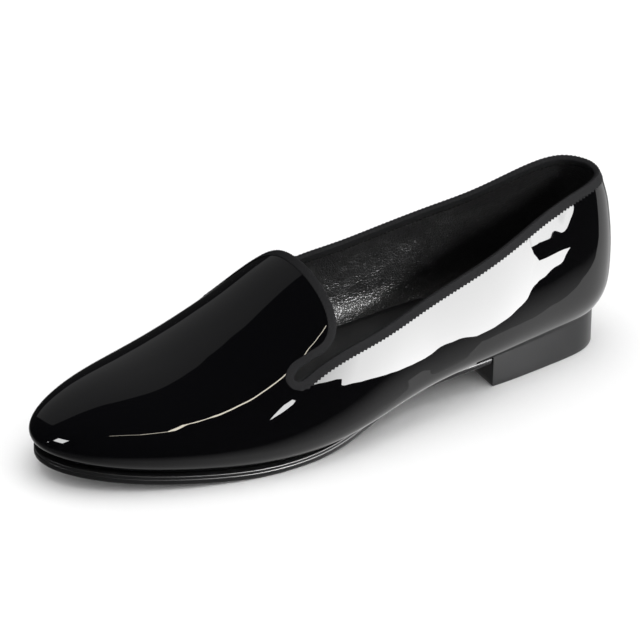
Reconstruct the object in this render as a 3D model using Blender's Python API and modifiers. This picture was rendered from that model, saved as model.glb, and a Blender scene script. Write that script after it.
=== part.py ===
# Opera pump for the right foot: a plain patent slip-on with a rounded tongue
# between two throat notches, a thin leather sole and a low covered heel.
# Metres. +X runs to the toe, +Y to the inner side of the foot, +Z up.
# The origin is the middle of the heel's flat bottom.

import math

import bmesh
import bpy
import numpy as np

# Driving dimensions
UPPER_LENGTH = 0.262
BALL_WIDTH = 0.0870
INSTEP_HEIGHT = 0.0600
COLLAR_HEIGHT = 0.0550
HEEL_RISE = 0.0182
TOE_RISE = 0.0110
UPPER_WALL = 0.0018
OUTSOLE_THICKNESS = 0.0038
OUTSOLE_EDGE = 0.0030
OUTSOLE_WEAR = 0.00025
OUTSOLE_BEVEL = 0.0006
INSOLE_THICKNESS = 0.0022
HEEL_LENGTH = 0.0607
HEEL_INSET = 0.0006
HEEL_FLARE = 0.0007
HEEL_BEVEL = 0.0005
BREAST_TURN = math.radians(3.5)
TONGUE_LIFT = 0.0010
BINDING_DEPTH = 0.0032
BINDING_THICKNESS = 0.0005
FIT_GAP = 0.0003

# Feather edge over the floor at the tread, where the outsole lies flat
TREAD_RISE = OUTSOLE_THICKNESS + FIT_GAP - OUTSOLE_WEAR
# Power of the last's cross section: 2 is an ellipse, more is fuller at the side
FULLNESS = 2.2

# The last, a row for each section from the heel's back to the toe's tip.
# share: of the upper's length. half, swing, tucks, sole: of the ball width.
# crown, belly: of the instep height. heel, toe: of the heel and toe rise.
# half: half width. swing: shift of the middle line to the inner side.
# crown: dome over the widest line. belly: widest line over the feather edge.
# tuck: how far the upper rolls in under its widest line, on each side.
# sole: how far the outsole's edge stands out from the feather edge.
LAST_COLUMNS = ("share", "half", "swing", "crown", "belly", "heel", "toe", "tuck_in", "tuck_out", "sole")
LAST_ROWS = (
    (0.00, 0.667, -0.023, 2.300, 0.283, 1.000, 0.000, 0.058, 0.063, -0.40),
    (0.10, 0.489, -0.017, 1.400, 0.267, 0.830, 0.000, 0.060, 0.068, -0.40),
    (0.25, 0.436, -0.018, 1.033, 0.238, 0.690, 0.000, 0.083, 0.060, -0.40),
    (0.40, 0.434, -0.012, 0.942, 0.213, 0.400, 0.000, 0.124, 0.074, -0.40),
    (0.55, 0.498, 0.005, 0.825, 0.173, 0.080, 0.000, 0.085, 0.060, 0.35),
    (0.68, 0.534, 0.013, 0.608, 0.150, 0.000, 0.000, 0.062, 0.048, 1.00),
    (0.80, 0.538, 0.013, 0.458, 0.137, 0.000, 0.220, 0.054, 0.047, 1.00),
    (0.90, 0.533, 0.013, 0.435, 0.125, 0.000, 0.520, 0.054, 0.048, 1.00),
    (1.00, 0.536, 0.016, 0.367, 0.103, 0.000, 1.000, 0.060, 0.057, 1.00),
)

# Height of the collar's edge over the feather edge, as a share of its height
# at the back, on the inner and outer side of the foot
COLLAR_COLUMNS = ("share", "inner", "outer")
COLLAR_ROWS = (
    (0.00, 1.010, 1.010),
    (0.05, 1.040, 1.020),
    (0.12, 1.012, 0.955),
    (0.20, 0.935, 0.822),
    (0.30, 0.850, 0.725),
    (0.40, 0.785, 0.688),
    (0.50, 0.730, 0.660),
    (0.60, 0.648, 0.598),
)

# Throat: both notches and the tongue's edge, from the inner side to the outer.
# share: of the upper's length. turn: degrees up the cross section, from 0 at
# the inner widest line over 90 on the middle line to 180 at the outer one.
THROAT_COLUMNS = ("share", "turn")
THROAT_ROWS = (
    (0.626, 35.0),
    (0.641, 34.9),
    (0.6490, 38.2),
    (0.6425, 41.4),
    (0.6270, 42.0),
    (0.6090, 41.8),
    (0.5900, 41.8),
    (0.5720, 45.0),
    (0.5630, 52.6),
    (0.5605, 63.0),
    (0.5600, 76.0),
    (0.5590, 90.0),
    (0.5585, 103.0),
    (0.5600, 113.0),
    (0.5650, 120.0),
    (0.5740, 125.0),
    (0.5880, 129.0),
    (0.6030, 132.5),
    (0.6180, 136.0),
    (0.6310, 138.6),
    (0.6370, 141.8),
    (0.6310, 145.2),
    (0.616, 145.6),
)

# How the upper's ribs fan out: edge 0 is the collar's back, 1 the notch, 2 the
# tongue's tip. turn: degrees round the outline, 180 at the heel, 0 at the toe.
FAN_COLUMNS = ("edge", "turn")
FAN_ROWS = (
    (0.00, 180.0),
    (0.25, 141.0),
    (0.50, 112.0),
    (0.75, 90.0),
    (0.94, 75.0),
    (1.00, 62.0),
    (1.08, 47.0),
    (1.30, 33.0),
    (1.60, 17.0),
    (2.00, 0.0),
)

# The tongue rises off the last behind the notches: shares of the length and of
# the half width between which the rise grows
LIFT_START = 0.655
LIFT_FULL = 0.575
LIFT_SIDE = 0.825
LIFT_FLAT = 0.660

# Mesh counts
QUARTER_RIBS = 26
TONGUE_RIBS = 22
QUARTER_EASE = 0.80
TONGUE_EASE = 0.55
TUCK_ROWS = 4
WALL_ROWS = 9
BAND_ROWS = 2
PLATE_ROWS = 36
PLATE_CROSS = 4
EDGE_STEPS = 3600


def natural_spline(knots, values):
    # cubic through the knots with no bend at its ends
    knots = np.asarray(knots, float)
    values = np.asarray(values, float)
    count = len(knots)
    step = np.diff(knots)
    slope = np.diff(values) / step
    system = np.eye(count)
    right = np.zeros(count)
    for i in range(1, count - 1):
        system[i, i - 1:i + 2] = step[i - 1], 2 * (step[i - 1] + step[i]), step[i]
        right[i] = 6 * (slope[i] - slope[i - 1])
    bend = np.linalg.solve(system, right)

    def evaluate(x):
        x = np.asarray(x, float)
        i = np.clip(np.searchsorted(knots, x) - 1, 0, count - 2)
        a = (knots[i + 1] - x) / step[i]
        b = 1 - a
        curve = ((a ** 3 - a) * bend[i] + (b ** 3 - b) * bend[i + 1]) * step[i] ** 2 / 6
        return a * values[i] + b * values[i + 1] + curve

    return evaluate


def table_splines(columns, rows):
    table = np.array(rows)
    splines = {}
    for number, name in enumerate(columns[1:], 1):
        splines[name] = natural_spline(table[:, 0], table[:, number])
    return splines


LAST = table_splines(LAST_COLUMNS, LAST_ROWS)
COLLAR = table_splines(COLLAR_COLUMNS, COLLAR_ROWS)
FAN = table_splines(FAN_COLUMNS, FAN_ROWS)


def half_width(share):
    return LAST["half"](share) * BALL_WIDTH


def middle(share):
    return LAST["swing"](share) * BALL_WIDTH


def crown(share):
    return LAST["crown"](share) * INSTEP_HEIGHT


def belly(share):
    return LAST["belly"](share) * INSTEP_HEIGHT


def feather(share):
    # height of the feather edge, where upper and sole meet
    heel = LAST["heel"](share) * (HEEL_RISE - TREAD_RISE)
    toe = LAST["toe"](share) * (TOE_RISE - TREAD_RISE)
    return TREAD_RISE + heel + toe


def end_factor(share):
    # closes every width and dome at the heel's back and the toe's tip
    return np.sqrt(np.clip(1 - (2 * share - 1) ** 2, 0, 1))


def outline(turn):
    # widest line of the upper in plan: turn 0 is the toe, pi the heel
    share = 0.5 + 0.5 * np.cos(turn)
    x = share * UPPER_LENGTH
    y = middle(share) + half_width(share) * np.sin(turn)
    return share, x, y


def outline_normal(turn):
    small = 1e-4
    _, x0, y0 = outline(turn - small)
    _, x1, y1 = outline(turn + small)
    dx, dy = x1 - x0, y1 - y0
    length = np.hypot(dx, dy)
    return dy / length, -dx / length


def side_mix(turn):
    # 1 on the inner side, 0 on the outer, smooth round heel and toe
    return 0.5 + 0.5 * np.sin(turn) / np.sqrt(np.sin(turn) ** 2 + 0.02)


def tuck(turn):
    share = 0.5 + 0.5 * np.cos(turn)
    mix = side_mix(turn)
    return BALL_WIDTH * (mix * LAST["tuck_in"](share) + (1 - mix) * LAST["tuck_out"](share))


def tuck_point(turn, depth):
    # point of the roll under the widest line, depth 0 there and 1 at the feather edge
    share, x, y = outline(turn)
    nx, ny = outline_normal(turn)
    drop = belly(share)
    spread = np.hypot(2 * np.cos(turn) / UPPER_LENGTH, np.sin(turn) / half_width(share))
    radius = 0.5 * crown(share) ** 2 * FULLNESS * spread
    down = depth * drop
    cubic = (tuck(turn) - drop ** 2 / (2 * radius)) / drop ** 3
    inward = down ** 2 / (2 * radius) + cubic * down ** 3
    z = feather(share) + drop - down
    return np.stack([x - nx * inward, y - ny * inward, z], -1)


def ramp(value, start, full):
    # 0 at the start and 1 at the full value, with level ends
    part = np.clip((value - start) / (full - start), 0, 1)
    return part * part * (3 - 2 * part)


def dome(x, y):
    # height of the upper over a plan point inside the widest line
    share = np.clip(x / UPPER_LENGTH, 1e-7, 1 - 1e-7)
    ends = end_factor(share)
    across = np.clip(np.abs(y - middle(share)) / (half_width(share) * ends), 0, 1)
    rise = crown(share) * ends * np.sqrt(1 - across ** FULLNESS)
    lift = TONGUE_LIFT * ramp(share, LIFT_START, LIFT_FULL) * ramp(across, LIFT_SIDE, LIFT_FLAT)
    return feather(share) + belly(share) + rise + lift


def dome_point(plan):
    return np.concatenate([plan, dome(plan[..., 0], plan[..., 1])[..., None]], -1)


def dome_normal(plan):
    small = 2e-5
    x, y = plan[..., 0], plan[..., 1]
    dx = (dome(x + small, y) - dome(x - small, y)) / (2 * small)
    dy = (dome(x, y + small) - dome(x, y - small)) / (2 * small)
    normal = np.stack([-dx, -dy, np.ones_like(dx)], -1)
    return normal / np.linalg.norm(normal, axis=-1, keepdims=True)


def section_plan(share, turn):
    # plan point at a turn up the cross section, 0 inner side to pi outer side
    lean = np.cos(turn)
    across = np.sign(lean) * np.abs(lean) ** (2 / FULLNESS)
    y = middle(share) + half_width(share) * end_factor(share) * across
    return np.stack([share * UPPER_LENGTH, y], -1)


def collar_turn(share, side):
    height = COLLAR[side](share) * COLLAR_HEIGHT - belly(share)
    return np.arcsin(np.clip(height / (crown(share) * end_factor(share)), 0, 1))


def collar_back():
    # share at which the collar's edge crosses the middle line
    low, high = 0.001, 0.1
    for _ in range(50):
        mid = (low + high) / 2
        height = COLLAR["inner"](mid) * COLLAR_HEIGHT
        if crown(mid) * end_factor(mid) + belly(mid) < height:
            low = mid
        else:
            high = mid
    return high


def opening_chart():
    # the whole opening edge as (share, turn) points, and the three that name it
    back = collar_back()
    steps = np.linspace(0, 1, 12)[1:] ** 2
    shares = back + (COLLAR_ROWS[-1][0] - back) * steps
    inner = [(s, collar_turn(s, "inner")) for s in shares]
    outer = [(s, math.pi - collar_turn(s, "outer")) for s in shares]
    throat = [(s, math.radians(t)) for s, t in THROAT_ROWS]
    points = [(back, math.pi / 2)] + inner + throat + outer[::-1]
    first = 1 + len(inner)
    notches = [first + 2, first + len(throat) - 3]
    tip = first + [t for _, t in THROAT_ROWS].index(90.0)
    return np.array(points), notches[0], tip, notches[1]


def opening_edge():
    # closed spline through the chart points, as plan points by arc length
    points, notch_in, tip, notch_out = opening_chart()
    scale = np.array([UPPER_LENGTH, BALL_WIDTH / 2])
    count = len(points)
    lap = 4
    ring = np.concatenate([points[-lap:], points, points[:lap + 1]])
    chord = np.concatenate([[0], np.cumsum(np.linalg.norm(np.diff(ring * scale, axis=0), axis=1))])
    share = natural_spline(chord, ring[:, 0])
    turn = natural_spline(chord, ring[:, 1])
    stations = chord[lap:lap + count + 1]
    fine = np.linspace(stations[0], stations[-1], EDGE_STEPS)
    spots = dome_point(section_plan(share(fine), turn(fine)))
    length = np.concatenate([[0], np.cumsum(np.linalg.norm(np.diff(spots, axis=0), axis=1))])
    marks = [np.interp(stations[i], fine, length) for i in (0, notch_in, tip, notch_out)]
    marks.append(length[-1])

    def plan(distance):
        at = np.interp(np.mod(distance, length[-1]), length, fine)
        return section_plan(share(at), turn(at))

    return plan, marks


def eased(count, ease):
    # fractions that lie closer together at both ends
    part = np.arange(count) / count
    return part - ease * np.sin(2 * math.pi * part) / (2 * math.pi)


def ribs(quarter, tongue):
    # distance along the opening edge and turn round the outline for each rib
    _, marks = EDGE
    distances = []
    turns = []
    for leg, count in enumerate((quarter, tongue, tongue, quarter)):
        part = eased(count, TONGUE_EASE if leg in (1, 2) else QUARTER_EASE)
        distances.append(marks[leg] + (marks[leg + 1] - marks[leg]) * part)
        number = part + leg if leg < 2 else 4 - leg - part
        turn = np.radians(FAN["turn"](number))
        turns.append(turn if leg < 2 else 2 * math.pi - turn)
    turns = np.concatenate(turns)
    return np.concatenate(distances), turns


def band_frame(distance):
    # edge points with the directions out of the wall and down into it
    plan = EDGE[0]
    small = 5e-5
    edge = dome_point(plan(distance))
    along = dome_point(plan(distance + small)) - dome_point(plan(distance - small))
    along /= np.linalg.norm(along, axis=-1, keepdims=True)
    normal = dome_normal(plan(distance))
    down = np.cross(normal, along)
    down /= np.linalg.norm(down, axis=-1, keepdims=True)
    return edge, normal, down


def band_point(distance, depth):
    # point on the wall at a depth below the opening edge
    edge, _, down = band_frame(distance)
    return dome_point((edge + down * depth)[..., :2])


def upper_surface(distance, turns, tuck_rows, wall_rows, band_rows):
    # rows from the feather edge over the widest line to the opening edge
    rows = [tuck_point(turns, d) for d in np.linspace(1, 0, tuck_rows + 1)]
    foot = rows[-1][:, :2]
    band = band_point(distance, BINDING_DEPTH)[:, :2]
    for step in np.linspace(0, 1, wall_rows + 1)[1:]:
        part = 1 - math.cos(step * math.pi / 2)
        rows.append(dome_point(foot + (band - foot) * part))
    for depth in np.linspace(BINDING_DEPTH, 0, band_rows + 1)[1:]:
        rows.append(band_point(distance, depth))
    return np.array(rows)


def heel_back():
    return tuck_point(np.array([math.pi]), 1.0)[0, 0]


EDGE = opening_edge()
HEEL_BACK = heel_back()
ORIGIN = np.array([HEEL_BACK + HEEL_LENGTH / 2, middle(0.12), 0.0])


def clear_scene():
    for item in list(bpy.data.objects):
        bpy.data.objects.remove(item, do_unlink=True)


def new_material(name, colour, roughness, metallic=0.0):
    material = bpy.data.materials.new(name)
    material.use_nodes = True
    shader = material.node_tree.nodes["Principled BSDF"]
    shader.inputs["Base Color"].default_value = (*colour, 1.0)
    shader.inputs["Roughness"].default_value = roughness
    shader.inputs["Metallic"].default_value = metallic
    return material


def new_object(name, build, collection, material):
    # build makes vertices and faces in a bmesh, in the last's own frame
    shape = bmesh.new()
    build(shape)
    mesh = bpy.data.meshes.new(name)
    shape.to_mesh(mesh)
    shape.free()
    mesh.shade_smooth()
    mesh.set_sharp_from_angle(angle=math.radians(40))
    mesh.materials.append(material)
    item = bpy.data.objects.new(name, mesh)
    collection.objects.link(item)
    return item


def loft_rings(shape, rings):
    # quads between closed rings of equal length, facing away from the foot
    made = [[shape.verts.new(p - ORIGIN) for p in ring] for ring in rings]
    for lower, higher in zip(made, made[1:]):
        for i in range(len(lower)):
            j = (i + 1) % len(lower)
            shape.faces.new((lower[j], lower[i], higher[i], higher[j]))
    return made


def build_upper(shape):
    distance, turns = ribs(QUARTER_RIBS, TONGUE_RIBS)
    loft_rings(shape, upper_surface(distance, turns, TUCK_ROWS, WALL_ROWS, BAND_ROWS))


def build_binding(shape):
    # a folded strip that clears both faces and the rim of the wall
    distance, _ = ribs(QUARTER_RIBS, TONGUE_RIBS)
    edge, normal, down = band_frame(distance)
    inner = UPPER_WALL + FIT_GAP
    rings = []
    for depth in np.linspace(BINDING_DEPTH, 0, BAND_ROWS + 1):
        face = band_point(distance, depth)
        rings.append(face + dome_normal(face[:, :2]) * FIT_GAP)
    rim = edge - down * FIT_GAP
    rings.append(rim)
    rings.append(rim - normal * UPPER_WALL)
    for depth in np.linspace(0, BINDING_DEPTH, BAND_ROWS + 1):
        face = band_point(distance, depth)
        rings.append(face - dome_normal(face[:, :2]) * inner)
    loft_rings(shape, rings)


def add_wall(item, thickness, offset):
    # the modifier gives an open surface its wall
    wall = item.modifiers.new("wall", "SOLIDIFY")
    wall.thickness = thickness
    wall.offset = offset
    wall.use_rim = True
    wall.use_quality_normals = True
    wall.use_even_offset = False


def rim_line(turn, inset):
    # the feather edge moved inward in plan
    spot = tuck_point(turn, 1.0)
    nx, ny = outline_normal(turn)
    spot[..., 0] -= nx * inset
    spot[..., 1] -= ny * inset
    return spot[..., :2]


def loft_plate(shape, rings, caps):
    # a plate whose rings run round an outline: the end rows close its faces
    made = loft_rings(shape, rings)
    half = len(made[0]) // 2
    for ring, height in ((made[0], caps[0]), (made[-1], caps[1])):
        near = ring[:half + 1]
        far = [ring[0]] + ring[:half - 1:-1]
        lines = []
        for a, b in zip(near, far):
            if a is b:
                lines.append([a])
                continue
            line = [a]
            for k in range(1, PLATE_CROSS):
                spot = a.co.lerp(b.co, k / PLATE_CROSS)
                spot.z = height(spot.x + ORIGIN[0])
                line.append(shape.verts.new(spot))
            lines.append(line + [b])
        for first, second in zip(lines, lines[1:]):
            for k in range(PLATE_CROSS):
                corners = [first[min(k, len(first) - 1)], second[min(k, len(second) - 1)],
                           second[min(k + 1, len(second) - 1)], first[min(k + 1, len(first) - 1)]]
                corners = list(dict.fromkeys(corners))
                if len(corners) > 2:
                    shape.faces.new(corners)


def outsole_top(x):
    return feather(x / UPPER_LENGTH) - FIT_GAP


def outsole_bottom(x):
    return np.maximum(outsole_top(x) - OUTSOLE_THICKNESS, 0.0)


def insole_bottom(x):
    return feather(x / UPPER_LENGTH) + FIT_GAP


def insole_top(x):
    return insole_bottom(x) + INSOLE_THICKNESS


def at_height(plan, height, lift=0.0):
    return np.concatenate([plan, (height(plan[:, 0]) + lift)[:, None]], -1)


def build_insole(shape):
    turns = np.linspace(0, 2 * math.pi, 2 * PLATE_ROWS, endpoint=False)
    low = rim_line(turns, UPPER_WALL + 2 * FIT_GAP)
    high = rim_line(turns, UPPER_WALL)
    rings = [at_height(low, insole_bottom), at_height(high, insole_top)]
    loft_plate(shape, rings, (insole_bottom, insole_top))
    bmesh.ops.recalc_face_normals(shape, faces=shape.faces)


def breast_line(side):
    # x of the heel's straight front face at a distance to the inner side
    return ORIGIN[0] + HEEL_LENGTH / 2 + (side - ORIGIN[1]) * math.tan(BREAST_TURN)


def turn_at_breast(sign, inset, ahead):
    # turn round the outline where a line inside the feather edge meets the breast
    low, high = 0.3 * math.pi, math.pi
    for _ in range(40):
        mid = (low + high) / 2
        spot = rim_line(np.array([mid * sign]), inset)[0]
        if spot[0] > breast_line(spot[1]) + ahead:
            low = mid
        else:
            high = mid
    return low * sign


def cut_ring(tip, stand, height, lift, ahead):
    # ring from a tip (turn 0 the toe, pi the heel's back) down the inner side to
    # the breast, across it, and back along the outer side; stand is outward
    inner = turn_at_breast(1, 0.0, ahead)
    outer = turn_at_breast(-1, 0.0, ahead)
    part = np.linspace(0, 1, PLATE_ROWS)
    turns = np.concatenate([tip + (inner - tip) * part, -tip + (outer + tip) * part[:0:-1]])
    share = 0.5 + 0.5 * np.cos(turns)
    nx, ny = outline_normal(turns)
    out = stand(share)
    plan = rim_line(turns, 0.0) + np.stack([nx * out, ny * out], -1)
    for i in (PLATE_ROWS - 1, PLATE_ROWS):
        plan[i, 0] = breast_line(plan[i, 1]) + ahead
    return at_height(plan, height, lift)


def outsole_ring(edge, height, lift):
    def stand(share):
        return LAST["sole"](share) * OUTSOLE_EDGE + edge

    return cut_ring(0.0, stand, height, lift, FIT_GAP)


def build_outsole(shape):
    rings = [
        outsole_ring(-OUTSOLE_BEVEL, outsole_bottom, 0.0),
        outsole_ring(0.0, outsole_bottom, OUTSOLE_BEVEL),
        outsole_ring(0.0, outsole_top, -OUTSOLE_BEVEL / 2),
        outsole_ring(-OUTSOLE_BEVEL / 2, outsole_top, 0.0),
    ]
    loft_strip_plate(shape, rings, (outsole_bottom, outsole_top))
    bmesh.ops.recalc_face_normals(shape, faces=shape.faces)


def floor(x):
    return np.zeros_like(x)


def heel_ring(inset, height, lift, ahead):
    def stand(share):
        return np.full_like(share, -inset)

    return cut_ring(math.pi, stand, height, lift, ahead)


def build_heel_block(shape):
    # the sides flare out to the floor, and the breast stands straight
    flared = HEEL_INSET - HEEL_FLARE
    rings = [
        heel_ring(flared + HEEL_BEVEL, floor, 0.0, -HEEL_BEVEL),
        heel_ring(flared, floor, HEEL_BEVEL, 0.0),
        heel_ring(HEEL_INSET, outsole_top, 0.0, 0.0),
    ]
    loft_strip_plate(shape, rings, (floor, outsole_top))
    bmesh.ops.recalc_face_normals(shape, faces=shape.faces)


def loft_strip_plate(shape, rings, caps):
    # a plate from one tip to a straight end across: rings start at the tip,
    # run down the inner side, cross the straight end and come back
    made = [[shape.verts.new(p - ORIGIN) for p in ring] for ring in rings]
    count = len(made[0])
    for lower, higher in zip(made, made[1:]):
        for i in range(count):
            j = (i + 1) % count
            if i == PLATE_ROWS - 1:
                continue
            shape.faces.new((lower[i], lower[j], higher[j], higher[i]))
    ends = []
    for ring, height in ((made[0], caps[0]), (made[-1], caps[1])):
        lines = [[ring[0]]]
        for i in range(1, PLATE_ROWS):
            a, b = ring[i], ring[count - i]
            line = [a]
            for k in range(1, PLATE_CROSS):
                spot = a.co.lerp(b.co, k / PLATE_CROSS)
                spot.z = height(spot.x + ORIGIN[0])
                line.append(shape.verts.new(spot))
            lines.append(line + [b])
        for first, second in zip(lines, lines[1:]):
            for k in range(PLATE_CROSS):
                corners = [first[min(k, len(first) - 1)], second[k], second[k + 1],
                           first[min(k + 1, len(first) - 1)]]
                shape.faces.new(list(dict.fromkeys(corners)))
        ends.append(lines[-1])
    low, high = ends
    left = [ring[PLATE_ROWS - 1] for ring in made]
    right = [ring[PLATE_ROWS] for ring in made]
    shape.faces.new(low + right[1:-1] + high[::-1] + left[-2:0:-1])


def main():
    clear_scene()
    collection = bpy.data.collections.new("opera_pump")
    bpy.context.scene.collection.children.link(collection)
    patent = new_material("black_patent", (0.006, 0.006, 0.007), 0.08)
    ribbon = new_material("black_ribbon", (0.020, 0.020, 0.022), 0.75)
    sock = new_material("black_sock", (0.012, 0.012, 0.013), 0.45)
    sole = new_material("black_sole_leather", (0.015, 0.015, 0.016), 0.35)
    upper = new_object("upper", build_upper, collection, patent)
    add_wall(upper, UPPER_WALL, -1.0)
    binding = new_object("topline_binding", build_binding, collection, ribbon)
    add_wall(binding, BINDING_THICKNESS, 1.0)
    new_object("insole", build_insole, collection, sock)
    new_object("outsole", build_outsole, collection, sole)
    new_object("heel_block", build_heel_block, collection, sole)


main()
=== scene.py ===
# Opera pump for the right foot: patent upper, ribbed ribbon binding, leather lining,
# sock, fine-edged sole and low covered heel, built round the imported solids.
# Metres, +X to the toe, +Y to the inner side of the foot, +Z up.

import math

import bmesh
import bpy
import numpy as np
from mathutils import Matrix, Vector


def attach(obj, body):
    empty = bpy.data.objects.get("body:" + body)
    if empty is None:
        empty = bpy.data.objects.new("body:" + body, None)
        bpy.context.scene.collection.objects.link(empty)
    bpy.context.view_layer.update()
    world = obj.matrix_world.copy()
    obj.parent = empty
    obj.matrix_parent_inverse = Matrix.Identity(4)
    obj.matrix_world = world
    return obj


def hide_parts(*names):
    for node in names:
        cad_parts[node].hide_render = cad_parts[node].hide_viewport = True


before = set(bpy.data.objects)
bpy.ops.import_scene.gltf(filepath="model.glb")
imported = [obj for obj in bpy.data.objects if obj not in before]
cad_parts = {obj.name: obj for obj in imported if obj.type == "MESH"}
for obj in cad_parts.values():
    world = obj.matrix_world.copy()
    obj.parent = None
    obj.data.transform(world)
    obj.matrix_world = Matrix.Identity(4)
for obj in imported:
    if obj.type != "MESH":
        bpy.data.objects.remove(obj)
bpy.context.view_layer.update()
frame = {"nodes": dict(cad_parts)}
print("frame loaded:", ", ".join(frame["nodes"]))

# the shoe's own sizes, the same as in the solids
shoe = {
    "length": 0.262,
    "ballWidth": 0.0870,
    "instepHeight": 0.0600,
    "collarHeight": 0.0550,
    "heelRise": 0.0182,
    "toeRise": 0.0110,
    "wall": 0.0018,
    "soleThickness": 0.0038,
    "soleEdge": 0.0030,
    "soleWear": 0.00025,
    "insoleThickness": 0.0022,
    "heelLength": 0.0607,
    "heelInset": 0.0006,
    "heelFlare": 0.0007,
    "breastTurn": math.radians(3.5),
    "bindingDepth": 0.0032,
    "gap": 0.0003,
    "seatGap": 0.00004,
    "fullness": 2.2,
    "tongueLift": 0.0010,
}
treadRise = shoe["soleThickness"] + shoe["gap"] - shoe["soleWear"]

# the last: a row for each section, heel to toe, in shares of the sizes above
lastColumns = ("share", "half", "swing", "crown", "belly", "heel", "toe", "tuckIn", "tuckOut", "sole")
lastRows = (
    (0.00, 0.667, -0.023, 2.300, 0.283, 1.000, 0.000, 0.058, 0.063, -0.40),
    (0.10, 0.489, -0.017, 1.400, 0.267, 0.830, 0.000, 0.060, 0.068, -0.40),
    (0.25, 0.436, -0.018, 1.033, 0.238, 0.690, 0.000, 0.083, 0.060, -0.40),
    (0.40, 0.434, -0.012, 0.942, 0.213, 0.400, 0.000, 0.124, 0.074, -0.40),
    (0.55, 0.498, 0.005, 0.825, 0.173, 0.080, 0.000, 0.085, 0.060, 0.35),
    (0.68, 0.534, 0.013, 0.608, 0.150, 0.000, 0.000, 0.062, 0.048, 1.00),
    (0.80, 0.538, 0.013, 0.458, 0.137, 0.000, 0.220, 0.054, 0.047, 1.00),
    (0.90, 0.533, 0.013, 0.435, 0.125, 0.000, 0.520, 0.054, 0.048, 1.00),
    (1.00, 0.536, 0.016, 0.367, 0.103, 0.000, 1.000, 0.060, 0.057, 1.00),
)
# the collar's height along the foot, in shares of collarHeight
collarColumns = ("share", "inner", "outer")
collarRows = (
    (0.00, 1.010, 1.010),
    (0.05, 1.040, 1.020),
    (0.12, 1.012, 0.955),
    (0.20, 0.935, 0.822),
    (0.30, 0.850, 0.725),
    (0.40, 0.785, 0.688),
    (0.50, 0.730, 0.660),
    (0.60, 0.648, 0.598),
)
# the throat's edge from the inner notch over the tongue to the outer notch: the share
# along the foot and the turn over it in degrees
throatRows = (
    (0.626, 35.0), (0.641, 34.9), (0.6490, 38.2), (0.6425, 41.4), (0.6270, 42.0), (0.6090, 41.8),
    (0.5900, 41.8), (0.5720, 45.0), (0.5630, 52.6), (0.5605, 63.0), (0.5600, 76.0), (0.5590, 90.0),
    (0.5585, 103.0), (0.5600, 113.0), (0.5650, 120.0), (0.5740, 125.0), (0.5880, 129.0),
    (0.6030, 132.5), (0.6180, 136.0), (0.6310, 138.6), (0.6370, 141.8), (0.6310, 145.2), (0.616, 145.6),
)
# which of these rows are the inner notch and the tongue's tip
notchRow = 2
tipRow = 11
# each rib runs from a place on the opening's edge to a turn round the outline
fanColumns = ("edge", "turn")
fanRows = (
    (0.00, 180.0), (0.25, 141.0), (0.50, 112.0), (0.75, 90.0), (0.94, 75.0),
    (1.00, 62.0), (1.08, 47.0), (1.30, 33.0), (1.60, 17.0), (2.00, 0.0),
)
# where the tongue's lift starts and is full: along the foot, then across it
liftStart = 0.655
liftFull = 0.575
liftSide = 0.825
liftFlat = 0.660

# how softly the inner side passes into the outer, and the steps of searches and splines
sideBlend = 0.02
halvings = 50
openingMesh = {"collarStops": 12, "lap": 4, "fineSteps": 7200}


def naturalSpline(knots, values):
    knots = np.asarray(knots, float)
    values = np.asarray(values, float)
    count = len(knots)
    step = np.diff(knots)
    slope = np.diff(values) / step
    system = np.eye(count)
    right = np.zeros(count)
    for i in range(1, count - 1):
        system[i, i - 1:i + 2] = step[i - 1], 2 * (step[i - 1] + step[i]), step[i]
        right[i] = 6 * (slope[i] - slope[i - 1])
    bend = np.linalg.solve(system, right)

    def evaluate(x):
        x = np.asarray(x, float)
        i = np.clip(np.searchsorted(knots, x) - 1, 0, count - 2)
        a = (knots[i + 1] - x) / step[i]
        b = 1 - a
        curve = ((a ** 3 - a) * bend[i] + (b ** 3 - b) * bend[i + 1]) * step[i] ** 2 / 6
        return a * values[i] + b * values[i + 1] + curve

    return evaluate


def tableSplines(columns, rows):
    table = np.array(rows)
    return {name: naturalSpline(table[:, 0], table[:, n]) for n, name in enumerate(columns[1:], 1)}


last = tableSplines(lastColumns, lastRows)
collar = tableSplines(collarColumns, collarRows)
fan = tableSplines(fanColumns, fanRows)


def halfWidth(share):
    return last["half"](share) * shoe["ballWidth"]


def middle(share):
    return last["swing"](share) * shoe["ballWidth"]


def crown(share):
    return last["crown"](share) * shoe["instepHeight"]


def belly(share):
    return last["belly"](share) * shoe["instepHeight"]


def feather(share):
    heel = last["heel"](share) * (shoe["heelRise"] - treadRise)
    toe = last["toe"](share) * (shoe["toeRise"] - treadRise)
    return treadRise + heel + toe


def endFactor(share):
    return np.sqrt(np.clip(1 - (2 * share - 1) ** 2, 0, 1))


def outline(turn):
    # the widest line in plan: turn 0 is the toe, pi the heel
    share = 0.5 + 0.5 * np.cos(turn)
    y = middle(share) + halfWidth(share) * np.sin(turn)
    return share, share * shoe["length"], y


def outlineNormal(turn):
    small = 1e-4
    _, x0, y0 = outline(turn - small)
    _, x1, y1 = outline(turn + small)
    dx, dy = x1 - x0, y1 - y0
    size = np.hypot(dx, dy)
    return dy / size, -dx / size


def innerPart(turn):
    # 1 on the inner side and 0 on the outer, with a soft change at toe and heel
    return 0.5 + 0.5 * np.sin(turn) / np.sqrt(np.sin(turn) ** 2 + sideBlend)


def tuck(turn):
    share = 0.5 + 0.5 * np.cos(turn)
    mix = innerPart(turn)
    return shoe["ballWidth"] * (mix * last["tuckIn"](share) + (1 - mix) * last["tuckOut"](share))


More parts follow.
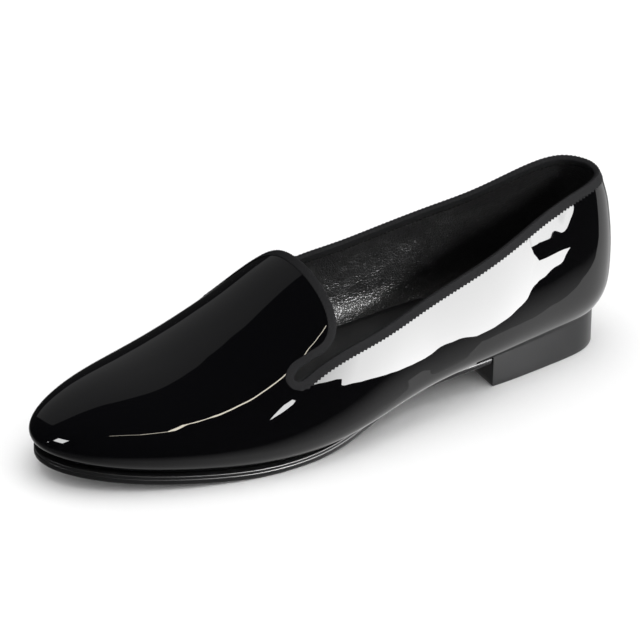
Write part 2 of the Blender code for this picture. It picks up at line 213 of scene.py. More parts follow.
def tuckPoint(turn, depth):
    # the roll under the widest line, depth 0 there and 1 at the feather edge
    share, x, y = outline(turn)
    nx, ny = outlineNormal(turn)
    drop = belly(share)
    spread = np.hypot(2 * np.cos(turn) / shoe["length"], np.sin(turn) / halfWidth(share))
    radius = 0.5 * crown(share) ** 2 * shoe["fullness"] * spread
    down = depth * drop
    cubic = (tuck(turn) - drop ** 2 / (2 * radius)) / drop ** 3
    inward = down ** 2 / (2 * radius) + cubic * down ** 3
    return np.stack([x - nx * inward, y - ny * inward, feather(share) + drop - down], -1)


def ramp(value, start, full):
    part = np.clip((value - start) / (full - start), 0, 1)
    return part * part * (3 - 2 * part)


def dome(x, y):
    share = np.clip(x / shoe["length"], 1e-7, 1 - 1e-7)
    ends = endFactor(share)
    across = np.clip(np.abs(y - middle(share)) / (halfWidth(share) * ends), 0, 1)
    rise = crown(share) * ends * np.sqrt(1 - across ** shoe["fullness"])
    lift = shoe["tongueLift"] * ramp(share, liftStart, liftFull) * ramp(across, liftSide, liftFlat)
    return feather(share) + belly(share) + rise + lift


def domePoint(plan):
    return np.concatenate([plan, dome(plan[..., 0], plan[..., 1])[..., None]], -1)


def unit(v):
    return v / np.maximum(np.linalg.norm(v, axis=-1, keepdims=True), 1e-12)


def domeNormal(plan):
    small = 2e-5
    x, y = plan[..., 0], plan[..., 1]
    dx = (dome(x + small, y) - dome(x - small, y)) / (2 * small)
    dy = (dome(x, y + small) - dome(x, y - small)) / (2 * small)
    return unit(np.stack([-dx, -dy, np.ones_like(dx)], -1))


def sectionPlan(share, turn):
    lean = np.cos(turn)
    across = np.sign(lean) * np.abs(lean) ** (2 / shoe["fullness"])
    y = middle(share) + halfWidth(share) * endFactor(share) * across
    return np.stack([share * shoe["length"], y], -1)


def collarTurn(share, side):
    height = collar[side](share) * shoe["collarHeight"] - belly(share)
    return np.arcsin(np.clip(height / (crown(share) * endFactor(share)), 0, 1))


def collarBack():
    # the share at which the collar crosses the back of the heel
    low, high = 0.001, 0.1
    for _ in range(halvings):
        mid = (low + high) / 2
        if crown(mid) * endFactor(mid) + belly(mid) < collar["inner"](mid) * shoe["collarHeight"]:
            low = mid
        else:
            high = mid
    return high


def openingEdge():
    # closed spline round the opening, as plan points by arc length
    back = collarBack()
    shares = back + (collarRows[-1][0] - back) * np.linspace(0, 1, openingMesh["collarStops"])[1:] ** 2
    inner = [(s, collarTurn(s, "inner")) for s in shares]
    outer = [(s, math.pi - collarTurn(s, "outer")) for s in shares]
    throat = [(s, math.radians(t)) for s, t in throatRows]
    points = np.array([(back, math.pi / 2)] + inner + throat + outer[::-1])
    first = 1 + len(inner)
    named = (0, first + notchRow, first + tipRow, first + len(throat) - 1 - notchRow)
    count = len(points)
    lap = openingMesh["lap"]
    ring = np.concatenate([points[-lap:], points, points[:lap + 1]])
    scaled = ring * np.array([shoe["length"], shoe["ballWidth"] / 2])
    chord = np.concatenate([[0], np.cumsum(np.linalg.norm(np.diff(scaled, axis=0), axis=1))])
    share = naturalSpline(chord, ring[:, 0])
    turn = naturalSpline(chord, ring[:, 1])
    stations = chord[lap:lap + count + 1]
    fine = np.linspace(stations[0], stations[-1], openingMesh["fineSteps"])
    spots = domePoint(sectionPlan(share(fine), turn(fine)))
    length = np.concatenate([[0], np.cumsum(np.linalg.norm(np.diff(spots, axis=0), axis=1))])
    marks = [float(np.interp(stations[i], fine, length)) for i in named] + [float(length[-1])]

    def plan(distance):
        at = np.interp(np.mod(distance, length[-1]), length, fine)
        return sectionPlan(share(at), turn(at))

    return plan, marks


edgePlan, edgeMarks = openingEdge()
heelBack = tuckPoint(np.array([math.pi]), 1.0)[0, 0]
origin = np.array([heelBack + shoe["heelLength"] / 2, float(middle(0.12)), 0.0])
print("opening edge %.0f mm round" % (edgeMarks[-1] * 1000))


def bandFrame(distance):
    # edge point, normal out of the wall and direction down into it
    small = 1e-4
    edge = domePoint(edgePlan(distance))
    along = unit(domePoint(edgePlan(distance + small)) - domePoint(edgePlan(distance - small)))
    normal = domeNormal(edgePlan(distance))
    return edge, normal, unit(np.cross(normal, along))


def bandPoint(distance, depth):
    edge, _, down = bandFrame(distance)
    return domePoint((edge + down * np.asarray(depth)[..., None])[..., :2])


def ribTurns(counts, ease):
    # distance along the edge and turn round the outline for each rib
    distances, turns = [], []
    for leg, count in enumerate(counts):
        part = np.arange(count) / count
        part = part - ease[leg] * np.sin(2 * math.pi * part) / (2 * math.pi)
        distances.append(edgeMarks[leg] + (edgeMarks[leg + 1] - edgeMarks[leg]) * part)
        turn = np.radians(fan["turn"](part + leg if leg < 2 else 4 - leg - part))
        turns.append(turn if leg < 2 else 2 * math.pi - turn)
    return np.concatenate(distances), np.concatenate(turns)


# helpers that turn a flat grid into a shaped piece

weldDistance = 1e-6


def bendGrid(shape, points, stretch=None):
    # points: rows by columns, and each row closes on its first column
    rows, columns = points.shape[:2]
    shape.loops.layers.uv.verify()
    made = bmesh.ops.create_grid(shape, x_segments=columns, y_segments=rows - 1, size=0.5, calc_uvs=True)
    for vert in made["verts"]:
        column = round((vert.co.x + 0.5) * columns)
        row = round((vert.co.y + 0.5) * (rows - 1))
        vert.co = Vector(points[row, column % columns] - origin)
    if stretch is not None:
        layer = shape.loops.layers.uv.active
        for face in shape.faces:
            for loop in face.loops:
                u, v = loop[layer].uv
                loop[layer].uv = stretch(round(v * (rows - 1)), round(u * columns))
    bmesh.ops.remove_doubles(shape, verts=shape.verts, dist=weldDistance)
    bmesh.ops.recalc_face_normals(shape, faces=shape.faces)


def smoothShade(mesh, sharp):
    mesh.shade_smooth()
    if sharp:
        mesh.set_sharp_from_angle(angle=math.radians(sharp))


def newPiece(name, shape, materials, sharp=None):
    mesh = bpy.data.meshes.new(name)
    shape.to_mesh(mesh)
    shape.free()
    for material in materials:
        mesh.materials.append(material)
    smoothShade(mesh, sharp)
    piece = bpy.data.objects.new(name, mesh)
    bpy.context.collection.objects.link(piece)
    return piece


def bakeModifiers(piece, sharp):
    deps = bpy.context.evaluated_depsgraph_get()
    mesh = bpy.data.meshes.new_from_object(piece.evaluated_get(deps))
    piece.modifiers.clear()
    piece.data = mesh
    smoothShade(mesh, sharp)


def placed(piece, node):
    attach(piece, "root")
    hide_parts(node)
    print("made", piece.name, len(piece.data.polygons), "faces")


# materials

def addNode(tree, kind, **values):
    node = tree.nodes.new(kind)
    for key, value in values.items():
        if key in node.bl_rna.properties:
            setattr(node, key, value)
        else:
            node.inputs[key].default_value = value
    return node


def setInputs(node, values):
    for key, value in values.items():
        node.inputs[key].default_value = value


def addNoise(tree, source, size, detail):
    noise = addNode(tree, "ShaderNodeTexNoise", Scale=size, Detail=detail)
    tree.links.new(source, noise.inputs["Vector"])
    return noise


def addRange(tree, source, before, after):
    # a value carried from one span to another
    level = addNode(tree, "ShaderNodeMapRange")
    setInputs(level, dict(zip(("From Min", "From Max", "To Min", "To Max"), before + after)))
    tree.links.new(source, level.inputs["Value"])
    return level.outputs["Result"]


def addBump(tree, height, strength, depth, under=None):
    bump = addNode(tree, "ShaderNodeBump", Strength=strength, Distance=depth)
    tree.links.new(height, bump.inputs["Height"])
    if under:
        tree.links.new(under, bump.inputs["Normal"])
    return bump.outputs["Normal"]


def newMaterial(name):
    material = bpy.data.materials.new(name)
    material.use_nodes = True
    return material, material.node_tree, material.node_tree.nodes["Principled BSDF"]


# the grain's cells are warped a little, by reach in metres; sizes are noise scales
grainLook = {"warpSize": 260.0, "warpReach": 0.0012, "edge": 0.22, "fineSize": 2600.0, "mottleSize": 90.0}


def leatherGrainGroup():
    # pebbled grain: a height for bump and a wide soft mask
    group = bpy.data.node_groups.new("leatherGrain", "ShaderNodeTree")
    face = group.interface
    face.new_socket("Vector", in_out="INPUT", socket_type="NodeSocketVector")
    for name in ("Cell Size", "Fine"):
        face.new_socket(name, in_out="INPUT", socket_type="NodeSocketFloat")
    for name in ("Height", "Mottle"):
        face.new_socket(name, in_out="OUTPUT", socket_type="NodeSocketFloat")
    start = group.nodes.new("NodeGroupInput")
    end = group.nodes.new("NodeGroupOutput")
    vector = start.outputs["Vector"]
    link = group.links.new
    warp = addNoise(group, vector, grainLook["warpSize"], 2.0)
    mix = addNode(group, "ShaderNodeVectorMath", operation="MULTIPLY_ADD")
    mix.inputs[1].default_value = (grainLook["warpReach"],) * 3
    link(warp.outputs["Color"], mix.inputs[0])
    link(vector, mix.inputs[2])
    cells = addNode(group, "ShaderNodeTexVoronoi", feature="DISTANCE_TO_EDGE")
    link(mix.outputs[0], cells.inputs["Vector"])
    link(start.outputs["Cell Size"], cells.inputs["Scale"])
    edge = addRange(group, cells.outputs["Distance"], (0.0, grainLook["edge"]), (0.0, 1.0))
    fine = addNoise(group, vector, grainLook["fineSize"], 3.0)
    add = addNode(group, "ShaderNodeMath", operation="MULTIPLY_ADD")
    link(fine.outputs["Fac"], add.inputs[0])
    link(start.outputs["Fine"], add.inputs[1])
    link(edge, add.inputs[2])
    mottle = addNoise(group, vector, grainLook["mottleSize"], 3.0)
    link(add.outputs[0], end.inputs["Height"])
    link(mottle.outputs["Fac"], end.inputs["Mottle"])
    return group


grainGroup = leatherGrainGroup()


def grainedLeather(name, look):
    material, tree, shader = newMaterial(name)
    coat, coatRoughness = look["coat"]
    setInputs(shader, {
        "Base Color": look["colour"],
        "Specular IOR Level": look["shine"],
        "Coat Weight": coat,
        "Coat Roughness": coatRoughness,
    })
    link = tree.links.new
    spot = addNode(tree, "ShaderNodeTexCoord")
    grain = tree.nodes.new("ShaderNodeGroup")
    grain.node_tree = grainGroup
    setInputs(grain, {"Cell Size": look["cell"], "Fine": look["fine"]})
    link(spot.outputs["Object"], grain.inputs["Vector"])
    link(addRange(tree, grain.outputs["Mottle"], (0.0, 1.0), look["roughness"]), shader.inputs["Roughness"])
    # wide soft folds under the fine grain
    fold = addBump(tree, grain.outputs["Mottle"], 1.0, look["rumple"]) if look["rumple"] else None
    normal = addBump(tree, grain.outputs["Height"], look["strength"], look["depth"], fold)
    link(normal, shader.inputs["Normal"])
    return material


patentLook = {
    "colour": (0.0018, 0.0018, 0.0022, 1.0),
    "roughness": (0.26, 0.42),
    "hazeSize": 40.0,
    "coatRoughness": 0.012,
    "coatIndex": 1.5,
    "waveSize": 62.0,
    "waveDepth": 0.00010,
}


def patentMaterial():
    # a mirror film with a slow wave in it; the leather under the film gives no gloss of its own
    material, tree, shader = newMaterial("patentLeather")
    setInputs(shader, {
        "Base Color": patentLook["colour"],
        "Specular IOR Level": 0.0,
        "Coat Weight": 1.0,
        "Coat Roughness": patentLook["coatRoughness"],
        "Coat IOR": patentLook["coatIndex"],
    })
    link = tree.links.new
    spot = addNode(tree, "ShaderNodeTexCoord").outputs["Object"]
    haze = addNoise(tree, spot, patentLook["hazeSize"], 4.0)
    link(addRange(tree, haze.outputs["Fac"], (0.0, 1.0), patentLook["roughness"]), shader.inputs["Roughness"])
    wave = addNoise(tree, spot, patentLook["waveSize"], 1.0)
    normal = addBump(tree, wave.outputs["Fac"], 1.0, patentLook["waveDepth"])
    link(normal, shader.inputs["Normal"])
    link(normal, shader.inputs["Coat Normal"])
    return material


liningLook = {
    "colour": (0.0042, 0.0042, 0.0045, 1.0),
    "shine": 0.6,
    "roughness": (0.32, 0.41),
    "coat": (0.0, 0.03),
    "cell": 950.0,
    "fine": 0.4,
    "strength": 1.0,
    "depth": 0.00009,
    "rumple": 0.0007,
}
sockLook = {
    "colour": (0.0030, 0.0030, 0.0033, 1.0),
    "shine": 0.2,
    "roughness": (0.42, 0.56),
    "coat": (0.0, 0.03),
    "cell": 1500.0,
    "fine": 0.5,
    "strength": 0.6,
    "depth": 0.00003,
    "rumple": 0.0,
}
soleLook = {
    "colour": (0.0065, 0.0065, 0.007, 1.0),
    "shine": 0.2,
    "roughness": (0.26, 0.42),
    "coat": (0.05, 0.3),
    "cell": 2200.0,
    "fine": 0.8,
    "strength": 0.4,
    "depth": 0.00002,
    "rumple": 0.0,
}
ribbonLook = {
    "colour": (0.0090, 0.0090, 0.0098, 1.0),
    "roughness": 0.85,
    "shine": 0.06,
    "threadPitch": 0.00028,
    "threadDepth": 0.00005,
    "threadWobble": 0.6,
    "fuzzSize": 5000.0,
    "fuzz": 0.5,
    "strength": 0.8,
}


def ribbonMaterial():
    # matt corded ribbon: fine threads follow the strip's own UV, in metres
    material, tree, shader = newMaterial("ribbedRibbon")
    setInputs(shader, {
        "Base Color": ribbonLook["colour"],
        "Roughness": ribbonLook["roughness"],
        "Specular IOR Level": ribbonLook["shine"],
    })
    link = tree.links.new
    uv = addNode(tree, "ShaderNodeUVMap").outputs["UV"]
    thread = addNode(tree, "ShaderNodeTexWave", wave_type="BANDS", bands_direction="Y")
    setInputs(thread, {
        "Scale": 1 / ribbonLook["threadPitch"] / math.pi / 2,
        "Distortion": ribbonLook["threadWobble"],
    })
    link(uv, thread.inputs["Vector"])
    fuzz = addNoise(tree, uv, ribbonLook["fuzzSize"], 2.0)
    add = addNode(tree, "ShaderNodeMath", operation="MULTIPLY_ADD")
    add.inputs[1].default_value = ribbonLook["fuzz"]
    link(fuzz.outputs["Fac"], add.inputs[0])
    link(thread.outputs["Fac"], add.inputs[2])
    normal = addBump(tree, add.outputs[0], ribbonLook["strength"], ribbonLook["threadDepth"])
    link(normal, shader.inputs["Normal"])
    return material


heelLook = {
    "colour": (0.0085, 0.0085, 0.009, 1.0),
    "shine": 0.22,
    "roughness": (0.30, 0.40),
    "hazeSize": 120.0,
}


def heelMaterial():
    material, tree, shader = newMaterial("heelCovering")
    setInputs(shader, {"Base Color": heelLook["colour"], "Specular IOR Level": heelLook["shine"]})
    spot = addNode(tree, "ShaderNodeTexCoord").outputs["Object"]
    haze = addNoise(tree, spot, heelLook["hazeSize"], 4.0)
    level = addRange(tree, haze.outputs["Fac"], (0.0, 1.0), heelLook["roughness"])
    tree.links.new(level, shader.inputs["Roughness"])
    return material


patent = patentMaterial()
lining = grainedLeather("liningLeather", liningLook)
sock = grainedLeather("sockLeather", sockLook)
ribbon = ribbonMaterial()
soleLeather = grainedLeather("soleLeather", soleLook)
heelCovering = heelMaterial()
print("materials ready")

# the upper: ribs from the feather edge up over the foot to the opening

upperMesh = {
    "counts": (150, 96, 96, 150),
    "ease": (0.70, 0.45, 0.45, 0.70),
    "tuckRows": 14,
    "wallRows": 48,
    "bandRows": 6,
    "handle": 0.33,
    "handleLimit": 0.012,
    "pull": 0.55,
    "sharp": 50,
}


def upperRows():
    distance, turns = ribTurns(upperMesh["counts"], upperMesh["ease"])
    rows = [tuckPoint(turns, d) for d in np.linspace(1, 0, upperMesh["tuckRows"] + 1)]
    foot = rows[-1][:, :2]
    band = bandPoint(distance, np.full(len(distance), shoe["bindingDepth"]))[:, :2]
    nx, ny = outlineNormal(turns)
    _, _, down = bandFrame(distance)
    away = unit(down[:, :2])
    reach = np.linalg.norm(band - foot, axis=1)[:, None] * upperMesh["handle"]
    # on the inner side each rib leaves the outline and meets the binding squarely
    inner = innerPart(turns)[:, None]
    handle1 = foot - np.stack([nx, ny], -1) * reach
    handle2 = band + away * np.minimum(reach, upperMesh["handleLimit"]) * upperMesh["pull"]
    handle1 = (foot * 2 + band) / 3 * (1 - inner) + handle1 * inner
    handle2 = (foot + band * 2) / 3 * (1 - inner) + handle2 * inner
    for step in np.linspace(0, 1, upperMesh["wallRows"] + 1)[1:]:
        t = 1 - math.cos(step * math.pi / 2)
        a, b, c, d = (1 - t) ** 3, 3 * t * (1 - t) ** 2, 3 * t * t * (1 - t), t ** 3
        rows.append(domePoint(a * foot + b * handle1 + c * handle2 + d * band))
    for depth in np.linspace(shoe["bindingDepth"], 0, upperMesh["bandRows"] + 1)[1:]:
        rows.append(bandPoint(distance, np.full(len(distance), depth)))
    return np.array(rows)


def makeUpper():
    shape = bmesh.new()
    bendGrid(shape, upperRows())
    # outward means away from the middle of the foot
    face = max(shape.faces, key=lambda f: f.calc_center_median().y)
    if face.normal.y < 0:
        bmesh.ops.reverse_faces(shape, faces=shape.faces)
    piece = newPiece("upperShell", shape, (patent, lining))
    wall = piece.modifiers.new("wall", "SOLIDIFY")
    wall.thickness = shoe["wall"]
    wall.offset = -1.0
    wall.material_offset = 1
    wall.material_offset_rim = 1
    wall.use_quality_normals = True
    bakeModifiers(piece, upperMesh["sharp"])
    placed(piece, "upper")


makeUpper()

# the binding: teeth show on the quarters and all but vanish round the throat

binding = {
    "ribPitch": 0.0018,
    "ribSamples": 8,
    "ribDepth": 0.00016,
    "ribSlant": 1.1,
    "toothDepth": 0.00042,
    "toothStart": 0.0028,
    "throatFade": 0.006,
    "throatCalm": 0.8,
    "innerFace": -0.0009,
    "sharp": 75,
}
# the folded ribbon's section: depth under the edge and distance off the outer face, both
# in mm, and how strongly the ribs show there
bindingRows = (
    (3.00, 0.04, 0.0), (3.05, 0.16, 0.6), (2.90, 0.30, 1.0), (2.50, 0.33, 1.0), (1.95, 0.34, 1.0),
    (1.30, 0.34, 1.0), (0.65, 0.34, 1.0), (0.12, 0.32, 1.0), (-0.20, 0.18, 1.0), (-0.34, -0.20, 0.8),
    (-0.38, -0.90, 0.6), (-0.34, -1.60, 0.6), (-0.20, -1.98, 0.6), (0.12, -2.12, 0.6), (0.90, -2.14, 0.6),
    (1.80, -2.14, 0.6), (2.60, -2.14, 0.6), (2.95, -2.08, 0.4), (3.00, -1.86, 0.0), (0.0, -1.84, 0.0),
    (0.0, 0.04, 0.0),
)


def makeBinding():
    total = edgeMarks[-1]
    ribs = round(total / binding["ribPitch"])
    columns = ribs * binding["ribSamples"]
    distance = np.arange(columns) / columns * total
    edge, normal, down = bandFrame(distance)
    phase = distance / total * ribs * 2 * math.pi
    fade = binding["throatFade"]
    start, end = edgeMarks[1], edgeMarks[3]
    throat = ramp(distance, start - fade, start) * ramp(distance, end + fade, end)
    bite = binding["toothDepth"] * (1 - binding["throatCalm"] * throat)
    rows = []
    for depth, off, strength in bindingRows:
        depth, off = depth / 1000, off / 1000
        slant = phase + binding["ribSlant"] * depth / binding["ribPitch"] * 2 * math.pi
        swell = 0.5 + 0.5 * np.cos(slant)
        side = 1.0 if off > binding["innerFace"] else -1.0
        tooth = bite * swell * (depth > binding["toothStart"])
        flat = bandPoint(distance, np.full(columns, max(depth, 0.0)) + tooth)
        face = domeNormal(flat[:, :2]) if depth > 0 else normal
        relief = (binding["ribDepth"] * strength * (swell - 0.5))[:, None]
        lift = relief - depth if depth < 0 else 0.0
        rows.append(flat + face * (off + side * relief) - down * lift)
    rows.append(rows[0])
    points = np.array(rows)
    arc = np.concatenate([[0], np.cumsum(np.linalg.norm(np.diff(points[:, 0], axis=0), axis=1))])

    def stretch(row, column):
        return (column / columns * total, arc[row])

    shape = bmesh.new()
    bendGrid(shape, points, stretch)
    placed(newPiece("toplineBinding", shape, (ribbon,), binding["sharp"]), "topline_binding")


makeBinding()

# plates under the foot: insole, sole and heel

def rimLine(turn, inset):
    spot = tuckPoint(turn, 1.0)
    nx, ny = outlineNormal(turn)
    return np.stack([spot[:, 0] - nx * inset, spot[:, 1] - ny * inset], -1)


def soleTop(x):
    return feather(x / shoe["length"]) - shoe["seatGap"]


def soleBottom(x):
    return np.maximum(feather(x / shoe["length"]) - shoe["gap"] - shoe["soleThickness"], 0.0)


def insoleBottom(x):
    return feather(x / shoe["length"]) + shoe["gap"]


def insoleTop(x):
    return insoleBottom(x) + shoe["insoleThickness"]


def floorLine(x):
    return np.zeros_like(x)


def raised(plan, height):
    return np.concatenate([plan, height[:, None]], -1)


def closeRows(ring, height, steps):
    # rows from one middle point out to a ring
    centre = ring.mean(axis=0)
    plans = [centre + (ring - centre) * part for part in steps]
    return [raised(plan, height(plan[:, 0])) for plan in plans]


def makePlate(name, rows, material, sharp):
    shape = bmesh.new()
    bendGrid(shape, np.array(rows))
    return newPiece(name, shape, (material,), sharp)


# rimGap is a share of the gap, edgeDrop a share of the rounded edge
insoleShape = {"turns": 240, "cross": 10, "edge": 0.0007, "rimGap": 0.6, "edgeDrop": 0.25, "sharp": 60}


def makeInsole():
    turns = np.linspace(0, 2 * math.pi, insoleShape["turns"], endpoint=False)
    edge = insoleShape["edge"]
    low = rimLine(turns, shoe["wall"] + 2 * shoe["gap"])
    rim = rimLine(turns, shoe["wall"] + shoe["gap"] * insoleShape["rimGap"])
    high = rimLine(turns, shoe["wall"] + edge)
    mid = (rim + high) / 2
    steps = np.linspace(0, 1, insoleShape["cross"] + 1)
    rows = closeRows(low, insoleBottom, steps)
    rows.append(raised(rim, insoleBottom(rim[:, 0]) + edge))
    rows.append(raised(rim, insoleTop(rim[:, 0]) - edge))
    rows.append(raised(mid, insoleTop(mid[:, 0]) - edge * insoleShape["edgeDrop"]))
    rows += closeRows(high, insoleTop, steps[::-1])
    placed(makePlate("insoleSock", rows, sock, insoleShape["sharp"]), "insole")


makeInsole()


def breastLine(side):
    return origin[0] + shoe["heelLength"] / 2 + (side - origin[1]) * math.tan(shoe["breastTurn"])


def turnAtBreast(sign, ahead):
    low, high = 0.3 * math.pi, math.pi
    for _ in range(halvings):
        mid = (low + high) / 2
        spot = rimLine(np.array([mid * sign]), 0.0)[0]
        if spot[0] > breastLine(spot[1]) + ahead:
            low = mid
        else:
            high = mid
    return low * sign


def cutRing(tip, count, across, stand, ahead):
    # from the tip down the inner side to the breast, across it and back up the outer side
    inner = turnAtBreast(1, ahead)
    outer = turnAtBreast(-1, ahead)
    part = np.linspace(0, 1, count)
    turns = np.concatenate([tip + (inner - tip) * part, -tip + (outer + tip) * part[:0:-1]])
    nx, ny = outlineNormal(turns)
    out = stand(0.5 + 0.5 * np.cos(turns))
    plan = rimLine(turns, 0.0) + np.stack([nx * out, ny * out], -1)
    a, b = plan[count - 1].copy(), plan[count].copy()
    a[0], b[0] = breastLine(a[1]) + ahead, breastLine(b[1]) + ahead
    straight = a + (b - a) * np.linspace(0, 1, across + 2)[:, None]
    return np.concatenate([plan[:count - 1], straight, plan[count + 1:]])


soleShape = {
    "turns": 110,
    "across": 21,
    "cross": 8,
    "bottomInset": 0.0011,
    "topInset": 0.0006,
    "sharp": 60,
}
# the sole's edge from the tread up: height as a share of the thickness, and how far it
# stands in from the full edge, in mm
soleEdgeRows = (
    (0.02, 0.60), (0.10, 0.20), (0.20, 0.03), (0.34, 0.00), (0.50, 0.00), (0.58, 0.02), (0.62, 0.22),
    (0.66, 0.26), (0.70, 0.22), (0.74, 0.04), (0.82, 0.00), (0.92, 0.04), (0.985, 0.22),
)


def makeOutsole():
    def ring(inset):
        def stand(share):
            return last["sole"](share) * shoe["soleEdge"] - inset

        return cutRing(0.0, soleShape["turns"], soleShape["across"], stand, shoe["gap"])

    steps = np.linspace(0, 1, soleShape["cross"] + 1)
    rows = closeRows(ring(soleShape["bottomInset"]), soleBottom, steps)
    for height, inset in soleEdgeRows:
        plan = ring(inset / 1000)
        low, high = soleBottom(plan[:, 0]), soleTop(plan[:, 0])
        rows.append(raised(plan, low + (high - low) * height))
    rows += closeRows(ring(soleShape["topInset"]), soleTop, steps[::-1])
    placed(makePlate("soleLeatherEdge", rows, soleLeather, soleShape["sharp"]), "outsole")


makeOutsole()

# the bottom bevel's rows: height and inset; topDrop and topInset are shares of the bevel too
heelShape = {
    "turns": 90,
    "across": 25,
    "cross": 8,
    "wallRows": 8,
    "bevel": 0.0005,
    "bevelRows": ((0.15, 0.55), (0.5, 0.15), (1.0, 0.0)),
    "topDrop": 0.2,
    "topInset": 0.3,
    "sharp": 40,
}


def makeHeel():
    def ring(inset, ahead):
        def stand(share):
            return np.full_like(share, -inset)

        return cutRing(math.pi, heelShape["turns"], heelShape["across"], stand, ahead)

    flared = shoe["heelInset"] - shoe["heelFlare"]
    bevel = heelShape["bevel"]
    steps = np.linspace(0, 1, heelShape["cross"] + 1)
    rows = closeRows(ring(flared + bevel, -bevel), floorLine, steps)
    for lift, back in heelShape["bevelRows"]:
        plan = ring(flared + bevel * back, -bevel * back)
        rows.append(raised(plan, np.full(len(plan), bevel * lift)))
    for part in np.linspace(0, 1, heelShape["wallRows"] + 1)[1:]:
        plan = ring(flared + shoe["heelFlare"] * part, 0.0)
        high = soleTop(plan[:, 0]) - bevel * heelShape["topDrop"]
        rows.append(raised(plan, bevel + (high - bevel) * part))
    top = ring(shoe["heelInset"] + bevel * heelShape["topInset"], 0.0)
    rows += closeRows(top, soleTop, steps[::-1])
    placed(makePlate("coveredHeel", rows, heelCovering, heelShape["sharp"]), "heel_block")


makeHeel()

# studio: floor, light panels and camera

studio = {
    "centre": (0.095, 0.0, 0.030),
    "distance": 1.2,
    "tubeColour": (1.0, 0.93, 0.78),
    "sheetRadius": 0.240,
    "sheetGrid": (120, 12),
    "sheetFade": 0.45,
}
floorLook = {"size": 6.0, "colour": (0.86, 0.86, 0.86, 1.0), "roughness": 0.9, "shine": 0.1}
topFill = {"location": (0.1, 0.0, 2.2), "size": 2.4, "energy": 22.0}
# what the eye and the gloss see of the room; the ground's glow grows from toe to heel
room = {
    "pale": (0.95, 0.95, 0.95, 1.0),
    "ground": (1.1, 1.1, 1.1, 1.0),
    "dark": (0.03, 0.03, 0.03, 1.0),
    "horizon": (0.22, 0.36),
    "glowSpan": (0.6, -0.75),
    "glow": (0.09, 0.9),
}
# panels: azimuth and elevation seen from the shoe, width and height in degrees, radiance
panelRows = (
    ("farWall", -118.0, 36.0, 78.0, 52.0, 0.19),
    ("toeSpot", 5.6, 36.0, 15.0, 15.0, 15.0),
    ("toeSpotLow", -7.0, 12.0, 2.0, 3.0, 16.0),
    ("collarGlow", 115.0, 33.0, 16.0, 11.0, 330.0),
)
# narrow tubes: azimuth and elevation of both ends, width in degrees and radiance
tubeRows = (
    ("tubeToe", (48.0, 57.7), (68.0, 53.0), 0.7, 9.0),
    ("tubeVamp", (68.0, 53.0), (80.0, 52.5), 0.9, 14.0),
    ("tubeTurn", (80.0, 52.5), (84.0, 60.5), 0.9, 18.0),
)
# glowing sheets bent round the shoe: for each azimuth the lowest and highest elevation
windowRows = (
    (87.0, 29.0, 33.0), (90.0, 25.0, 36.0), (95.0, 20.5, 38.0), (100.0, 16.0, 39.0), (105.0, 11.5, 40.0),
    (108.0, 8.0, 40.0), (109.3, 3.5, 40.0), (111.0, 1.5, 40.0), (115.0, -1.5, 40.0), (120.0, -5.5, 40.0),
    (127.0, -10.5, 38.0), (133.0, -15.0, 36.0), (137.0, -17.5, 34.0), (140.0, -16.5, 32.0),
    (145.0, -14.0, 30.0), (146.2, -12.8, 30.0), (146.3, -12.7, 10.0), (146.8, -12.2, 6.0),
    (147.0, -12.0, 2.5), (147.9, -10.0, 2.5), (148.4, -4.0, 2.5), (148.8, -2.0, 2.0),
)
# the window's upper corner reaches a little further back
cornerRows = ((146.1, 10.0, 30.0), (147.2, 10.0, 28.0), (147.6, 12.5, 20.0), (147.8, 15.0, 17.0))
heelGlowRows = (
    (139.0, -24.0, -20.5), (145.0, -36.0, -19.5), (152.0, -46.0, -18.5), (156.0, -48.0, -11.0),
    (162.0, -50.0, -7.0), (164.5, -50.0, -2.0), (166.0, -50.0, 12.0), (190.0, -50.0, 14.0),
)
notchGlowRows = ((84.0, 14.5, 17.5), (85.0, 15.0, 22.5), (87.0, 15.8, 22.5), (89.0, 17.5, 19.5))
# the dimmer is the share of the radiance at the first azimuth
sheets = {
    "window": {"rows": windowRows, "radiance": 17.5, "dimmer": 0.5},
    "windowCorner": {"rows": cornerRows, "radiance": 17.5, "dimmer": 0.5},
    "heelGlow": {"rows": heelGlowRows, "radiance": 1.0, "dimmer": 1.1},
    "notchGlow": {"rows": notchGlowRows, "radiance": 17.0, "dimmer": 1.0},
}


def direction(azimuth, elevation):
    az, el = math.radians(azimuth), math.radians(elevation)
    return Vector((math.cos(az) * math.cos(el), math.sin(az) * math.cos(el), math.sin(el)))


def addLamp(name, out, turn, width, height, radiance, colour=(1.0, 1.0, 1.0)):
    # a rectangle of light that only gloss can see
    lamp = bpy.data.lights.new(name, "AREA")
    lamp.shape = "RECTANGLE"
    lamp.size, lamp.size_y = width, height
    lamp.energy = radiance * math.pi * width * height
    lamp.color = colour
    item = bpy.data.objects.new(name, lamp)
    item.location = Vector(studio["centre"]) + out * studio["distance"]
    item.rotation_euler = turn.to_euler()
    item.visible_camera = False
    item.visible_diffuse = False
    bpy.context.collection.objects.link(item)


def addPanel(name, azimuth, elevation, width, height, radiance):
    out = direction(azimuth, elevation)
    wide, tall = (2 * studio["distance"] * math.tan(math.radians(a) / 2) for a in (width, height))
    addLamp(name, out, out.to_track_quat("Z", "Y").to_matrix(), wide, tall, radiance)


def addTube(name, start, end, width, radiance):
    # a strip light between two directions
    first, other = direction(*start), direction(*end)
    out = (first + other).normalized()
    along = (other - first).normalized()
    turn = Matrix((along, out.cross(along), out)).transposed()
    long = (other - first).length * studio["distance"]
    wide = math.radians(width) * studio["distance"]
    addLamp(name, out, turn, long, wide, radiance, studio["tubeColour"])


